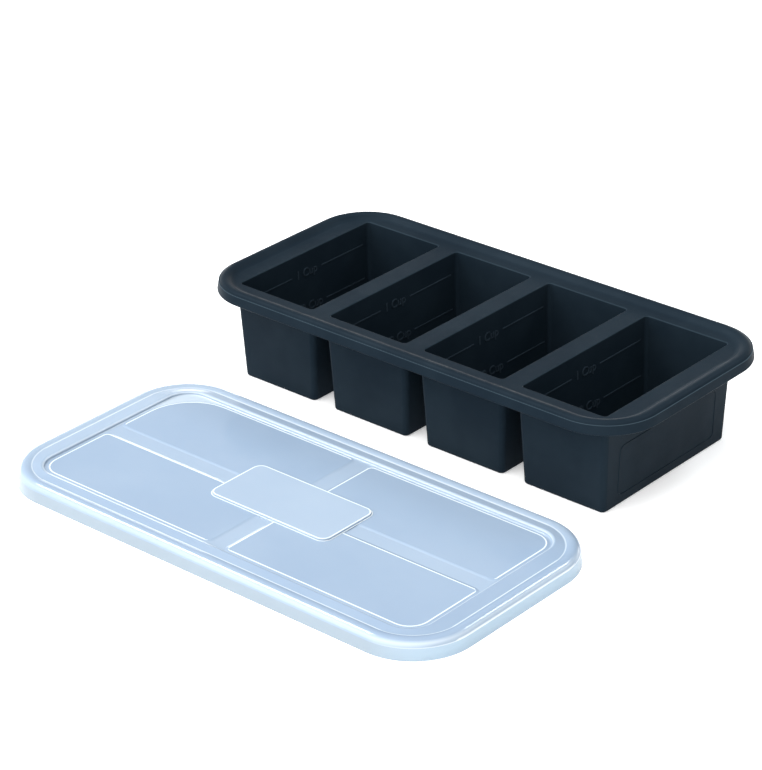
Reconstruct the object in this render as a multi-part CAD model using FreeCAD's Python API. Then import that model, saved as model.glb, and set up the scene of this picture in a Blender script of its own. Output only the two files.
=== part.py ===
import FreeCAD, Part
import math
import os

from FreeCAD import Base

# Freezer portion tray: a one-piece silicone moulding of four cups in a row, a steel wire ring moulded
# into its rim, and a thin polypropylene lid that lies on the table in front of it.
# Millimetres, +Z up. The origin is on the table, under the middle of the tray and lid together.

# Cups
cup_count = 4
cup_pitch = 67.5
opening_length = 55.0
opening_width = 109.6
opening_corner_radius = 3.0
opening_edge_radius = 0.9
cup_wall = 2.1
cup_floor = 2.2
cup_draft_degrees = 2.6
cup_bottom_radius = 3.4
cavity_bottom_radius = 2.6

# Web between the cups, and the raised rim round it
web_top_height = 57.8
web_thickness = 3.0
rim_half_length = 149.7
rim_half_width = 71.7
rim_corner_radius = 33.5
rim_underside_drop = 4.7
rim_band_width = 9.2
rim_bead_width = 11.2
rim_bead_rise = 2.6
rim_crest_inset = 4.5
rim_face_lean = 0.9
rim_lower_edge_radius = 0.9
parting_ledge_drop = 1.6
parting_ledge_width = 0.4

# Steel wire ring inside the rim
wire_diameter = 3.2
wire_inset = 4.9
wire_height_above_underside = 3.5
wire_clearance = 0.1

# Lid
lid_rim_clearance = 1.1
lid_wall = 1.2
lid_height = 10.0
lid_skirt_lean = 0.5
lid_shoulder_radius = 4.6
lid_crown_width = 3.2
lid_valley_depth = 0.6
lid_band_rise = 0.8
lid_recess_half_length = 133.4
lid_recess_half_width = 58.6
lid_recess_corner_radius = 14.0
lid_recess_depth = 1.7
lid_recess_lean = 0.4
lid_strip_width = 9.2
lid_panel_rise = 0.4
lid_panel_corner_radius = 3.0
lid_plate_half_length = 41.0
lid_plate_half_width = 20.0
lid_plate_corner_radius = 5.5
lid_plate_rise = 1.5
lid_soft_edge = 0.3

# Where the lid lies, beside the tray
lid_gap_to_rim = 13.8
lid_shift_along_row = 4.7

# Sizes that follow from the ones above
rim_top_height = web_top_height + rim_bead_rise
web_underside_height = web_top_height - web_thickness
rim_underside_height = web_top_height - rim_underside_drop
web_join_inset = rim_bead_width + cup_wall
lid_half_length = rim_half_length + lid_rim_clearance + lid_wall
lid_half_width = rim_half_width + lid_rim_clearance + lid_wall
lid_corner_radius = rim_corner_radius + lid_rim_clearance + lid_wall
lid_valley_inset = lid_skirt_lean + lid_shoulder_radius + lid_crown_width
lid_band_inset = lid_valley_inset + lid_wall
lid_offset_y = -(rim_half_width + lid_gap_to_rim + lid_half_width)

# Places of the tray and the lid, with the origin under the middle of the two together
left_end = min(-rim_half_length, lid_shift_along_row - lid_half_length)
right_end = max(rim_half_length, lid_shift_along_row + lid_half_length)
front_side = lid_offset_y - lid_half_width
tray_x = -(left_end + right_end) / 2
tray_y = -(rim_half_width + front_side) / 2
lid_x = tray_x + lid_shift_along_row
lid_y = tray_y + lid_offset_y


def unit_at(degrees):
    """Unit vector in the XY plane at an angle from +X."""
    angle = math.radians(degrees)
    return Base.Vector(math.cos(angle), math.sin(angle), 0)


def rounded_rectangle(half_x, half_y, radius, z):
    """Closed wire of a rectangle with round corners, centred on the Z axis at height z."""
    arcs = []
    ends = []
    for sign_x, sign_y, start in [(1, 1, 0), (-1, 1, 90), (-1, -1, 180), (1, -1, 270)]:
        centre = Base.Vector(sign_x * (half_x - radius), sign_y * (half_y - radius), z)
        first, middle, last = [centre + radius * unit_at(start + turn) for turn in (0, 45, 90)]
        arcs.append(Part.Arc(first, middle, last).toShape())
        ends.append((first, last))
    edges = []
    for index, arc in enumerate(arcs):
        leave = ends[index][1]
        arrive = ends[(index + 1) % 4][0]
        edges.append(arc)
        edges.append(Part.LineSegment(leave, arrive).toShape())
    return Part.Wire(edges)


def prism(half_x, half_y, radius, z_low, z_high):
    """Upright solid with a round-cornered rectangle as its plan."""
    face = Part.Face(rounded_rectangle(half_x, half_y, radius, z_low))
    return face.extrude(Base.Vector(0, 0, z_high - z_low))


def tapered_prism(low, high, z_low, z_high):
    """Solid between two round-cornered rectangles, each given as (half_x, half_y, radius)."""
    wires = [rounded_rectangle(*low, z_low), rounded_rectangle(*high, z_high)]
    return Part.makeLoft(wires, True, True)


def ring(section, half_x, half_y, corner_radius):
    """Solid of a section carried round a round-cornered rectangle.

    The section is a face in the XZ plane, with the outer edge at X = 0 and inward towards -X.
    """
    straight_x = half_x - corner_radius
    straight_y = half_y - corner_radius
    pieces = []
    for quarter in range(4):
        reach, along = (straight_x, straight_y) if quarter % 2 == 0 else (straight_y, straight_x)
        side = section.translated(Base.Vector(reach + corner_radius, -along, 0))
        side = side.extrude(Base.Vector(0, 2 * along, 0))
        corner = section.translated(Base.Vector(reach + corner_radius, along, 0))
        corner = corner.revolve(Base.Vector(reach, along, 0), Base.Vector(0, 0, 1), 90)
        for piece in (side, corner):
            piece.rotate(Base.Vector(0, 0, 0), Base.Vector(0, 0, 1), 90 * quarter)
            pieces.append(piece)
    return pieces[0].fuse(pieces[1:]).removeSplitter()


def section_point(inset, z):
    """Point of a section, given by its distance inward from the outer edge and its height."""
    return Base.Vector(-inset, 0, z)


def section_face(steps):
    """Face of a section outline: each step is a point, or a pair of mid point and end of an arc."""
    start = section_point(*steps[0])
    here = start
    edges = []
    for step in steps[1:]:
        if isinstance(step[0], tuple):
            middle = section_point(*step[0])
            end = section_point(*step[1])
            edges.append(Part.Arc(here, middle, end).toShape())
        else:
            end = section_point(*step)
            edges.append(Part.LineSegment(here, end).toShape())
        here = end
    edges.append(Part.LineSegment(here, start).toShape())
    return Part.Face(Part.Wire(edges))


def arc_middle(level_end, other_end):
    """Mid point of the arc between two section points that is level at the first of them."""
    run = level_end[0] - other_end[0]
    drop = level_end[1] - other_end[1]
    radius = (run * run + drop * drop) / (2 * drop)
    half_turn = math.asin(abs(run / radius)) / 2
    back = math.copysign(abs(radius) * math.sin(half_turn), run)
    fall = radius * (1 - math.cos(half_turn))
    return (level_end[0] - back, level_end[1] - fall)


def quarter_bend(radius):
    """How far the middle of a quarter round lies from the two sides that it joins."""
    return radius * (1 - math.cos(math.radians(45)))


def rim_section():
    """Section of the raised rim, from its outer face to where it joins the flat web."""
    edge = rim_lower_edge_radius
    bend = quarter_bend(edge)
    ledge_z = rim_top_height - parting_ledge_drop
    crest = (rim_crest_inset, rim_top_height)
    ledge = (rim_face_lean + parting_ledge_width, ledge_z)
    foot = (rim_bead_width, web_top_height)
    saddle = ((crest[0] + foot[0]) / 2, (crest[1] + foot[1]) / 2)
    return section_face([
        (edge, rim_underside_height),
        ((bend, rim_underside_height + bend), (0, rim_underside_height + edge)),
        (rim_face_lean, ledge_z),
        ledge,
        (arc_middle(crest, ledge), crest),
        (arc_middle(crest, saddle), saddle),
        (arc_middle(foot, saddle), foot),
        (web_join_inset, web_top_height),
        (web_join_inset, web_underside_height),
        (rim_band_width, web_underside_height),
        (rim_band_width, rim_underside_height),
    ])


def wire_ring(diameter):
    """Closed ring of round section on the line that the steel wire follows inside the rim."""
    centre = section_point(wire_inset, rim_underside_height + wire_height_above_underside)
    circle = Part.Circle(centre, Base.Vector(0, 1, 0), diameter / 2)
    section = Part.Face(Part.Wire([circle.toShape()]))
    return ring(section, rim_half_length, rim_half_width, rim_corner_radius)


def cup_plan(z, outward):
    """Half sizes and corner radius of a cup at a height, a distance outward from its inner wall."""
    narrowing = math.tan(math.radians(cup_draft_degrees)) * (web_top_height - z)
    return (
        opening_length / 2 + outward - narrowing,
        opening_width / 2 + outward - narrowing,
        opening_corner_radius + outward,
    )


def lies_at(edge, z):
    """Whether an edge lies in the level plane z."""
    box = edge.BoundBox
    return abs(box.ZMin - z) < 1e-4 and abs(box.ZMax - z) < 1e-4


def round_edges_at(solid, z, radius):
    """Rounds every edge that lies in the level plane z."""
    return solid.makeFillet(radius, [edge for edge in solid.Edges if lies_at(edge, z)])


def cup_outside():
    """The outer form of one cup, tapered and rounded at its bottom."""
    top = (web_top_height + web_underside_height) / 2
    outside = tapered_prism(cup_plan(0, cup_wall), cup_plan(top, cup_wall), 0, top)
    return round_edges_at(outside, 0, cup_bottom_radius)


def cup_cavity():
    """The hollow of one cup, from its floor to above the web."""
    cavity = tapered_prism(cup_plan(cup_floor, 0), cup_plan(rim_top_height, 0), cup_floor, rim_top_height)
    return round_edges_at(cavity, cup_floor, cavity_bottom_radius)


def along_the_row(cup):
    """Copies of a form at each cup's place."""
    first = -(cup_count - 1) / 2 * cup_pitch
    return [cup.translated(Base.Vector(first + index * cup_pitch, 0, 0)) for index in range(cup_count)]


def is_mouth_edge(edge):
    """Whether an edge is part of a cup's mouth, in the flat of the web."""
    middle = edge.BoundBox.Center
    within_x = abs(middle.x) < rim_half_length - web_join_inset
    within_y = abs(middle.y) < rim_half_width - web_join_inset
    return lies_at(edge, web_top_height) and within_x and within_y


def make_tray():
    """The silicone moulding: cups, web and rim, with the sealed channel for the wire ring."""
    rim = ring(rim_section(), rim_half_length, rim_half_width, rim_corner_radius)
    web = prism(
        rim_half_length - web_join_inset,
        rim_half_width - web_join_inset,
        rim_corner_radius - web_join_inset,
        web_underside_height,
        web_top_height,
    )
    body = rim.fuse([web] + along_the_row(cup_outside())).removeSplitter()
    body = body.cut(along_the_row(cup_cavity()))
    body = body.makeFillet(opening_edge_radius, [edge for edge in body.Edges if is_mouth_edge(edge)])
    return body.cut(wire_ring(wire_diameter + 2 * wire_clearance))


def lid_section(wall):
    """Section of the lid's skirt and bead: its outer form, or with a wall its hollow."""
    top = lid_height - wall
    radius = lid_shoulder_radius - wall
    shoulder = (lid_skirt_lean + wall, top - radius)
    bend = quarter_bend(radius)
    crown = (shoulder[0] + radius, top)
    valley = (lid_valley_inset, top - lid_valley_depth)
    return section_face([
        (wall, 0),
        shoulder,
        ((shoulder[0] + bend, top - bend), crown),
        (arc_middle(crown, valley), valley),
        (lid_band_inset, valley[1]),
        (lid_band_inset, 0),
    ])


def inset_from_lid(inset):
    """Half sizes and corner radius of the lid's outline, a distance inward from its edge."""
    return (lid_half_length - inset, lid_half_width - inset, lid_corner_radius - inset)


def lid_form(wall):
    """Filled form of the lid with its recess: its outside, or with a wall its hollow."""
    skirt = ring(lid_section(wall), lid_half_length, lid_half_width, lid_corner_radius)
    valley_z = lid_height - wall - lid_valley_depth
    band_z = valley_z + lid_band_rise
    middle = prism(*inset_from_lid(lid_band_inset), 0, valley_z)
    recess = (lid_recess_half_length, lid_recess_half_width, lid_recess_corner_radius)
    recess_top = tuple(size + wall for size in recess)
    recess_low = tuple(size - lid_recess_lean for size in recess_top)
    band = tapered_prism(inset_from_lid(lid_valley_inset), recess_top, valley_z, band_z)
    hollow = tapered_prism(recess_low, recess_top, band_z - lid_recess_depth, band_z)
    return skirt.fuse([middle, band]).removeSplitter().cut(hollow)


def lid_panels(floor_z):
    """The four low panels of the recess, which leave a strip along each middle line."""
    edge = lid_strip_width / 2
    far_x = lid_recess_half_length - lid_recess_lean
    far_y = lid_recess_half_width - lid_recess_lean
    far_radius = lid_recess_corner_radius - lid_recess_lean
    plan = ((far_x - edge) / 2, (far_y - edge) / 2, lid_panel_corner_radius)
    block = softened_block(plan, floor_z, lid_panel_rise)
    limit = prism(far_x, far_y, far_radius, floor_z, lid_height)
    panels = []
    for sign_x in (-1, 1):
        for sign_y in (-1, 1):
            place = Base.Vector(sign_x * (edge + plan[0]), sign_y * (edge + plan[1]), 0)
            panels.append(block.translated(place).common(limit))
    return panels


def softened_block(plan, z, rise):
    """Low block whose sides lean in by the lid's soft edge."""
    top_plan = tuple(size - lid_soft_edge for size in plan)
    return tapered_prism(plan, top_plan, z, z + rise)


def make_lid():
    """The thin lid: skirt, bead, band, recess with four panels, and a bare raised plate."""
    floor_z = lid_height - lid_valley_depth + lid_band_rise - lid_recess_depth
    plate_plan = (lid_plate_half_length, lid_plate_half_width, lid_plate_corner_radius)
    plate = softened_block(plate_plan, floor_z, lid_plate_rise)
    outside = lid_form(0).fuse(lid_panels(floor_z) + [plate]).removeSplitter()
    return outside.cut(lid_form(lid_wall))


def place_and_write(shape, name, x, y):
    """Moves a piece to its place, says whether it is sound and writes its file."""
    solid = shape.translated(Base.Vector(x, y, 0)).Solids[0]
    print(name, "pieces", len(shape.Solids), "sound", solid.isValid(), "volume", round(solid.Volume, 1))
    solid.exportStep("parts/" + name + ".step")


os.makedirs("parts", exist_ok=True)
place_and_write(make_tray(), "tray", tray_x, tray_y)
place_and_write(wire_ring(wire_diameter), "rim_frame", tray_x, tray_y)
place_and_write(make_lid(), "lid", lid_x, lid_y)
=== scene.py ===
"""Looks of a four-cup freezer portion tray and its lid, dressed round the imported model.

Every length is in metres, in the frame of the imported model: +X along the row of cups, +Z up.
"""

import logging
import math
from dataclasses import dataclass, field, replace
from enum import Enum
from typing import Callable, Dict, List, Optional, Sequence, Tuple, Union

import bmesh
import bpy
from mathutils import Matrix, Vector


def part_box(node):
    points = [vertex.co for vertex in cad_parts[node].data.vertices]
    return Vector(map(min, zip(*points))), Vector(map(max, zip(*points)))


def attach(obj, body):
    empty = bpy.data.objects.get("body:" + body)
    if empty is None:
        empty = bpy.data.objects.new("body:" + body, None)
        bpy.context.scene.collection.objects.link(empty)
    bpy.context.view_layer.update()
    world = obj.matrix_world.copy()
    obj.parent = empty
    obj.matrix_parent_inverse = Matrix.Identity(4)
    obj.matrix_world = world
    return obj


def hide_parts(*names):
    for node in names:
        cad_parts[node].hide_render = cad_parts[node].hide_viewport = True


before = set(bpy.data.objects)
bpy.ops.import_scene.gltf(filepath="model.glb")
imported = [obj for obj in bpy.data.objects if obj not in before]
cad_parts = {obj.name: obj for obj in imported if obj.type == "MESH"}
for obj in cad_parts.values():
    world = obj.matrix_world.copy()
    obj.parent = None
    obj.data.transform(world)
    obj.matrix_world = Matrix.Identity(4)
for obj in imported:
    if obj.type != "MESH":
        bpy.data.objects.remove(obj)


Point = Tuple[float, float]
Colour = Tuple[float, float, float]
Direction = Tuple[float, float, float]
log = logging.getLogger("portion_tray")

MM = 0.001
# The attribute below holds painted highlight lines and painted light, beside the pale tones of the lid's
# parts.
TONE_AND_LIGHT_ATTRIBUTE = "pale_tone_and_painted_light"  # attribute that holds how pale a mesh is
TOUCH = 0.01 * MM  # places nearer than this are the same
WELD = 0.002 * MM  # points nearer than this are merged
SEAM = 0.4 * MM  # a point this near the edge of a part of the lid counts as on it
UPRIGHT = 0.2  # normals that rise less than this are those of upright faces
LEVEL = 0.9  # normals that rise more than this are those of level faces
SOFT_CREASE = 30  # degrees; edges of the mouldings sharper than this stay sharp
FINE_CREASE = 40  # the same for the fine raised marks
NODE_GAP = 180  # distance between nodes laid out in a row


class Body(Enum):
    """The moving bodies that the pieces ride on."""

    TRAY = "tray_body"
    LID = "lid_body"


class Slot(Enum):
    """The record's material slots."""

    SILICONE = "silicone"
    LID_PLASTIC = "lid_plastic"


class Facing(Enum):
    """Which way a level skin faces."""

    UP = 1
    DOWN = -1


class Blend(Enum):
    """How one solid is combined with another."""

    UNION = "UNION"
    DIFFERENCE = "DIFFERENCE"


@dataclass(frozen=True)
class Plan:
    """A round-cornered rectangle seen from above.

    Args:
        half_x: Half its length along X.
        half_y: Half its length along Y.
        radius: Radius of its corners.
    """

    half_x: float
    half_y: float
    radius: float

    def offset(self, outward: float) -> "Plan":
        """The plan moved outward all round, corners included."""
        return Plan(self.half_x + outward, self.half_y + outward, self.radius + outward)

    def drafted(self, inward: float) -> "Plan":
        """The plan drawn in all round, with its corner radius kept."""
        return Plan(self.half_x - inward, self.half_y - inward, self.radius)

    def depth(self, x: float, y: float) -> float:
        """How far a point lies inside the outline.

        Args:
            x: Its place along X, from the middle.
            y: Its place along Y.

        Returns:
            The distance from the outline, negative outside it.
        """
        beyond_x = abs(x) - (self.half_x - self.radius)
        beyond_y = abs(y) - (self.half_y - self.radius)
        beyond = math.hypot(max(beyond_x, 0), max(beyond_y, 0))
        return self.radius - beyond - min(max(beyond_x, beyond_y), 0)


@dataclass(frozen=True)
class Rounding:
    """A quarter-like round between two straight stretches of a section.

    Args:
        radius: Radius of the round.
        first: Angle below level at its start, in radians.
        last: Angle below level at its end, in radians.
        steps: How many straight facets stand for it.
    """

    radius: float
    first: float
    last: float
    steps: int

    def moves(self) -> List[Point]:
        """The round as (inward, rise) moves.

        Returns:
            One move for each facet.
        """
        turn = math.copysign(1.0, self.last - self.first)
        angles = [self.first + (self.last - self.first) * k / self.steps for k in range(self.steps + 1)]
        moves = []
        for here, there in zip(angles, angles[1:]):
            inward = turn * self.radius * (math.sin(there) - math.sin(here))
            rise = turn * self.radius * (math.cos(there) - math.cos(here))
            moves.append((inward, rise))
        return moves

    def rising(self) -> List[Point]:
        """The same moves turned upward."""
        return [(inward, -rise) for inward, rise in self.moves()]

    def tangent(self) -> float:
        """Length of the straight stretches that the round takes the place of."""
        return self.radius * math.tan(abs(self.last - self.first) / 2)


def deselect_all() -> None:
    """Leaves no object selected."""
    bpy.ops.object.select_all(action="DESELECT")


def activate(piece: bpy.types.Object) -> None:
    """Makes one object the only selected and the active one.

    Args:
        piece: The object.
    """
    deselect_all()
    piece.select_set(True)
    bpy.context.view_layer.objects.active = piece


def edit(piece: bpy.types.Object) -> None:
    """Opens one object in edit mode with nothing selected.

    Args:
        piece: The object.
    """
    activate(piece)
    bpy.ops.object.mode_set(mode="EDIT")
    bpy.ops.mesh.select_all(action="DESELECT")


def leave_edit() -> None:
    """Closes edit mode."""
    bpy.ops.object.mode_set(mode="OBJECT")


def select_where(piece: bpy.types.Object, kind: str, test: Callable) -> None:
    """Selects vertices, edges or faces in edit mode by their place.

    Args:
        piece: The object that is open in edit mode.
        kind: One of "verts", "edges" and "faces".
        test: Says of one element whether it is chosen.
    """
    modes = {"verts": "VERT", "edges": "EDGE", "faces": "FACE"}
    bpy.ops.mesh.select_all(action="DESELECT")
    bpy.ops.mesh.select_mode(type=modes[kind])
    mesh = bmesh.from_edit_mesh(piece.data)
    for element in getattr(mesh, kind):
        if test(element):
            element.select_set(True)
    mesh.select_flush_mode()
    bmesh.update_edit_mesh(piece.data)


def level_at(height: float) -> Callable:
    """A test of whether all points of an edge or a face lie at one height."""
    return lambda element: all(abs(vertex.co.z - height) < TOUCH for vertex in element.verts)


def at_corner(place: Vector, plan: Plan, towards: Vector) -> Optional[bool]:
    """Whether a point of a plate is its corner in one direction.

    Args:
        place: The point, from the middle of the plate.
        plan: The plate's outline.
        towards: The direction.

    Returns:
        True there, False at another corner, and None at a point that is no corner.
    """
    if abs(abs(place.x) - plan.half_x) > TOUCH or abs(abs(place.y) - plan.half_y) > TOUCH:
        return None
    return place.x * towards.x > 0 and place.y * towards.y > 0


def start_plate(name: str, plan: Plan, centre: Vector, facing: Facing, corner_steps: int,
                wide_corner: Optional[Vector] = None, wide_radius: float = 0.0) -> bpy.types.Object:
    """Adds a level plate with round corners and leaves it selected in edit mode.

    Args:
        name: Name of the new object.
        plan: Its outline.
        centre: Its middle.
        facing: Whether it faces up or down.
        corner_steps: Facets in each round corner.
        wide_corner: Direction from the middle to a corner that has a radius of its own.
        wide_radius: Radius of that corner.

    Returns:
        The new object.
    """
    deselect_all()
    bpy.ops.mesh.primitive_plane_add(size=2, location=centre)
    piece = bpy.context.object
    piece.name = name
    piece.scale = (plan.half_x, plan.half_y, 1)
    bpy.ops.object.transform_apply(location=True, rotation=True, scale=True)
    bpy.ops.object.mode_set(mode="EDIT")
    bpy.ops.mesh.select_all(action="SELECT")
    if facing is Facing.DOWN:
        bpy.ops.mesh.flip_normals()
    corners = [(plan.radius, None)] if wide_corner is None else [(plan.radius, False), (wide_radius, True)]
    for radius, is_wide in corners:
        if is_wide is not None:
            select_where(piece, "verts",
                         lambda vertex: at_corner(vertex.co - centre, plan, wide_corner) is is_wide)
        bpy.ops.mesh.bevel(offset=radius, segments=corner_steps, affect="VERTICES", clamp_overlap=False)
    bpy.ops.mesh.select_mode(type="FACE")
    bpy.ops.mesh.select_all(action="SELECT")
    return piece


def step_by(moves: Sequence[Point], facing: Facing) -> None:
    """Carries the selected level face along a section, with the distance to its edge kept.

    Args:
        moves: Moves as (inward, rise).
        facing: Which way the face faces.
    """
    for inward, rise in moves:
        if inward > 0:
            bpy.ops.mesh.inset(thickness=inward, depth=rise * facing.value, use_even_offset=True)
        else:
            bpy.ops.mesh.extrude_region_move(TRANSFORM_OT_translate={"value": (0, 0, rise)})


def drop_cap(piece: bpy.types.Object, height: float) -> None:
    """Takes away the level face that the first extrusion leaves behind at its start."""
    select_where(piece, "faces", level_at(height))
    bpy.ops.mesh.delete(type="ONLY_FACE")


def open_end() -> None:
    """Takes away the selected face and closes edit mode."""
    bpy.ops.mesh.delete(type="ONLY_FACE")
    leave_edit()


def face_outward() -> None:
    """Turns all faces of the open mesh outward and closes edit mode."""
    bpy.ops.mesh.select_all(action="SELECT")
    bpy.ops.mesh.normals_make_consistent(inside=False)
    leave_edit()


def bridge_rims(piece: bpy.types.Object) -> None:
    """Joins the two open rims of a mesh in edit mode.

    Args:
        piece: The object that is open in edit mode.
    """
    select_where(piece, "edges", lambda edge: edge.is_boundary)
    bpy.ops.mesh.bridge_edge_loops()
    face_outward()


def weld(piece: bpy.types.Object) -> None:
    """Opens an object in edit mode and merges the points that lie on each other.

    Args:
        piece: The object.
    """
    edit(piece)
    bpy.ops.mesh.select_all(action="SELECT")
    bpy.ops.mesh.remove_doubles(threshold=WELD)


def draw_in(plan: Plan, inward: float, rise: float, centre: Vector) -> None:
    """Carries the selected level face up or down and scales it, so that its corners keep their radius.

    Args:
        plan: The face's outline before the move.
        inward: How far each side moves in.
        rise: How far the face moves up.
        centre: Middle of the face.
    """
    bpy.ops.mesh.extrude_region_move(TRANSFORM_OT_translate={"value": (0, 0, rise)})
    factors = ((plan.half_x - inward) / plan.half_x, (plan.half_y - inward) / plan.half_y, 1)
    bpy.ops.transform.resize(value=factors, center_override=centre)


def level_arc(level_end: Point, other_end: Point, steps: int) -> List[Point]:
    """Points of an arc in a section that is level at one of its ends.

    Args:
        level_end: Its level end, as (inset, height).
        other_end: Its other end.
        steps: How many facets stand for it.

    Returns:
        The points from the level end to the other, both included.
    """
    run = other_end[0] - level_end[0]
    drop = level_end[1] - other_end[1]
    radius = (run * run + drop * drop) / (2 * drop)
    sweep = math.asin(run / abs(radius))
    points = []
    for k in range(steps + 1):
        angle = sweep * k / steps
        across = abs(radius) * math.sin(angle)
        down = radius * (1 - math.cos(angle))
        points.append((level_end[0] + across, level_end[1] - down))
    return points


def arc_to_level(start: Point, level_end: Point, steps: int) -> List[Point]:
    """Points of an arc in a section that ends level, without its first point.

    Args:
        start: Its first end, as (inset, height).
        level_end: Its level end.
        steps: How many facets stand for it.

    Returns:
        The points after the first, up to the level end.
    """
    back = level_arc((-level_end[0], level_end[1]), (-start[0], start[1]), steps)
    return [(-x, z) for x, z in reversed(back)][1:]


def moves_between(points: Sequence[Point]) -> List[Point]:
    """The (inward, rise) moves that lead along the points of a section."""
    return [(there[0] - here[0], there[1] - here[1]) for here, there in zip(points, points[1:])]


def join(pieces: Sequence[bpy.types.Object]) -> bpy.types.Object:
    """Joins objects into the first of them.

    Args:
        pieces: The objects.

    Returns:
        The first object, which now holds all.
    """
    activate(pieces[0])
    for piece in pieces:
        piece.select_set(True)
    bpy.ops.object.join()
    return bpy.context.object


def copy_of(piece: bpy.types.Object, name: str, shift: Vector) -> bpy.types.Object:
    """Copies an object with its own mesh and moves the copy's mesh.

    Args:
        piece: The object.
        name: Name of the copy.
        shift: How far the copy's mesh moves.

    Returns:
        The copy.
    """
    twin = piece.copy()
    twin.data = piece.data.copy()
    twin.name = name
    twin.data.transform(Matrix.Translation(shift))
    bpy.context.scene.collection.objects.link(twin)
    return twin


def apply_modifier(piece: bpy.types.Object, kind: str, **settings: object) -> None:
    """Adds a modifier to an object, sets it and applies it.

    Args:
        piece: The object.
        kind: The modifier's type.
        settings: Values of its settings.
    """
    activate(piece)
    modifier = piece.modifiers.new(kind.lower(), kind)
    for name, value in settings.items():
        setattr(modifier, name, value)
    bpy.ops.object.modifier_apply(modifier=modifier.name)


def combine(piece: bpy.types.Object, other: bpy.types.Object, how: Blend) -> None:
    """Adds one closed solid to another or takes it away, and drops it."""
    apply_modifier(piece, "BOOLEAN", object=other, operation=how.value, solver="EXACT")
    bpy.data.objects.remove(other)


def smooth(piece: bpy.types.Object, crease_degrees: float) -> None:
    """Shades an object smooth up to an angle, with its large faces kept flat.

    Args:
        piece: The object.
        crease_degrees: Edges sharper than this stay sharp.
    """
    activate(piece)
    bpy.ops.object.shade_smooth_by_angle(angle=math.radians(crease_degrees))
    apply_modifier(piece, "WEIGHTED_NORMAL", mode="FACE_AREA", weight=100, keep_sharp=True)


def store_tone_and_light(piece: bpy.types.Object, tone_and_highlight: Callable[[Vector], float]) -> None:
    """Stores how pale a mesh is on each of its points: pale tones, painted highlights and painted light.

    Args:
        piece: The object.
        tone_and_highlight: Says of a place how pale the mesh is there, from 0 to 1.
    """
    values = piece.data.attributes.new(TONE_AND_LIGHT_ATTRIBUTE, "FLOAT", "POINT")
    for vertex, value in zip(piece.data.vertices, values.data):
        value.value = tone_and_highlight(vertex.co)


def paint(piece: bpy.types.Object, *skins: bpy.types.Material) -> None:
    """Gives an object its materials in place of any that it has.

    Args:
        piece: The object.
        skins: The materials, in the order of their indices.
    """
    piece.data.materials.clear()
    for skin in skins:
        piece.data.materials.append(skin)


def wall_turn(lean: float) -> Matrix:
    """Turns a flat mark so that it stands on an end wall and reads along +Y.

    Args:
        lean: How far the wall leans toward +X at its top, in radians.

    Returns:
        The turn.
    """
    along = Vector((0, 1, 0))
    up = Vector((math.sin(lean), 0, math.cos(lean)))
    return Matrix((along, up, along.cross(up))).transposed().to_4x4()


def box_middle(node: str) -> Vector:
    """Middle of a node's box, at the height of its lowest point."""
    low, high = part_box(node)
    return Vector(((low.x + high.x) / 2, (low.y + high.y) / 2, low.z))


class NodeSheet:
    """A node tree that is laid out from left to right.

    Args:
        tree: The tree that nodes are added to.
    """

    def __init__(self, tree: bpy.types.NodeTree) -> None:
        """Starts with no nodes laid out."""
        self.tree = tree
        self.count = 0

    def add(self, kind: str, inputs: Optional[Dict[Union[str, int], object]] = None,
            **settings: object) -> bpy.types.Node:
        """Adds a node.

        Args:
            kind: The node's type.
            inputs: Values of its inputs, or the sockets that feed them, by name or number.
            settings: Values of its plain settings.

        Returns:
            The new node.
        """
        node = self.tree.nodes.new(kind)
        node.location = (self.count * NODE_GAP, 0)
        self.count += 1
        for name, value in settings.items():
            setattr(node, name, value)
        for label, value in (inputs or {}).items():
            if isinstance(value, bpy.types.NodeSocket):
                self.tree.links.new(value, node.inputs[label])
            else:
                node.inputs[label].default_value = value
        return node


def effect_group(name: str, inputs: Dict[str, float],
                 output: str) -> Tuple[NodeSheet, Dict[str, bpy.types.NodeSocket]]:
    """Starts a group of nodes with named number inputs and one number output.

    Args:
        name: Name of the group.
        inputs: Input names and their usual values.
        output: Name of the output.

    Returns:
        The group's sheet, and its sockets by name, as seen from inside.
    """
    tree = bpy.data.node_groups.new(name, "ShaderNodeTree")
    tree.interface.new_socket("Vector", in_out="INPUT", socket_type="NodeSocketVector")
    for label, usual in inputs.items():
        socket = tree.interface.new_socket(label, in_out="INPUT", socket_type="NodeSocketFloat")
        socket.default_value = usual
    tree.interface.new_socket(output, in_out="OUTPUT", socket_type="NodeSocketFloat")
    sheet = NodeSheet(tree)
    entry = sheet.add("NodeGroupInput")
    leave = sheet.add("NodeGroupOutput")
    sockets = {label: entry.outputs[label] for label in ["Vector", *inputs]}
    sockets[output] = leave.inputs[output]
    return sheet, sockets


def clouding_group() -> bpy.types.NodeTree:
    """Slow uneven patches, as in a moulded part whose surface cooled unevenly.

    Returns:
        A group with inputs Vector, Scale, Low and High, and the output Value.
    """
    sheet, sockets = effect_group("clouding", {"Scale": 40.0, "Low": 0.0, "High": 1.0}, "Value")
    noise = sheet.add("ShaderNodeTexNoise", {
        "Vector": sockets["Vector"], "Scale": sockets["Scale"], "Detail": 3.0, "Roughness": 0.55})
    spread = sheet.add("ShaderNodeMapRange", {
        "Value": noise.outputs["Fac"], "From Min": 0.35, "From Max": 0.65,
        "To Min": sockets["Low"], "To Max": sockets["High"]}, interpolation_type="SMOOTHSTEP")
    sheet.tree.links.new(spread.outputs["Result"], sockets["Value"])
    return sheet.tree


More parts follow.
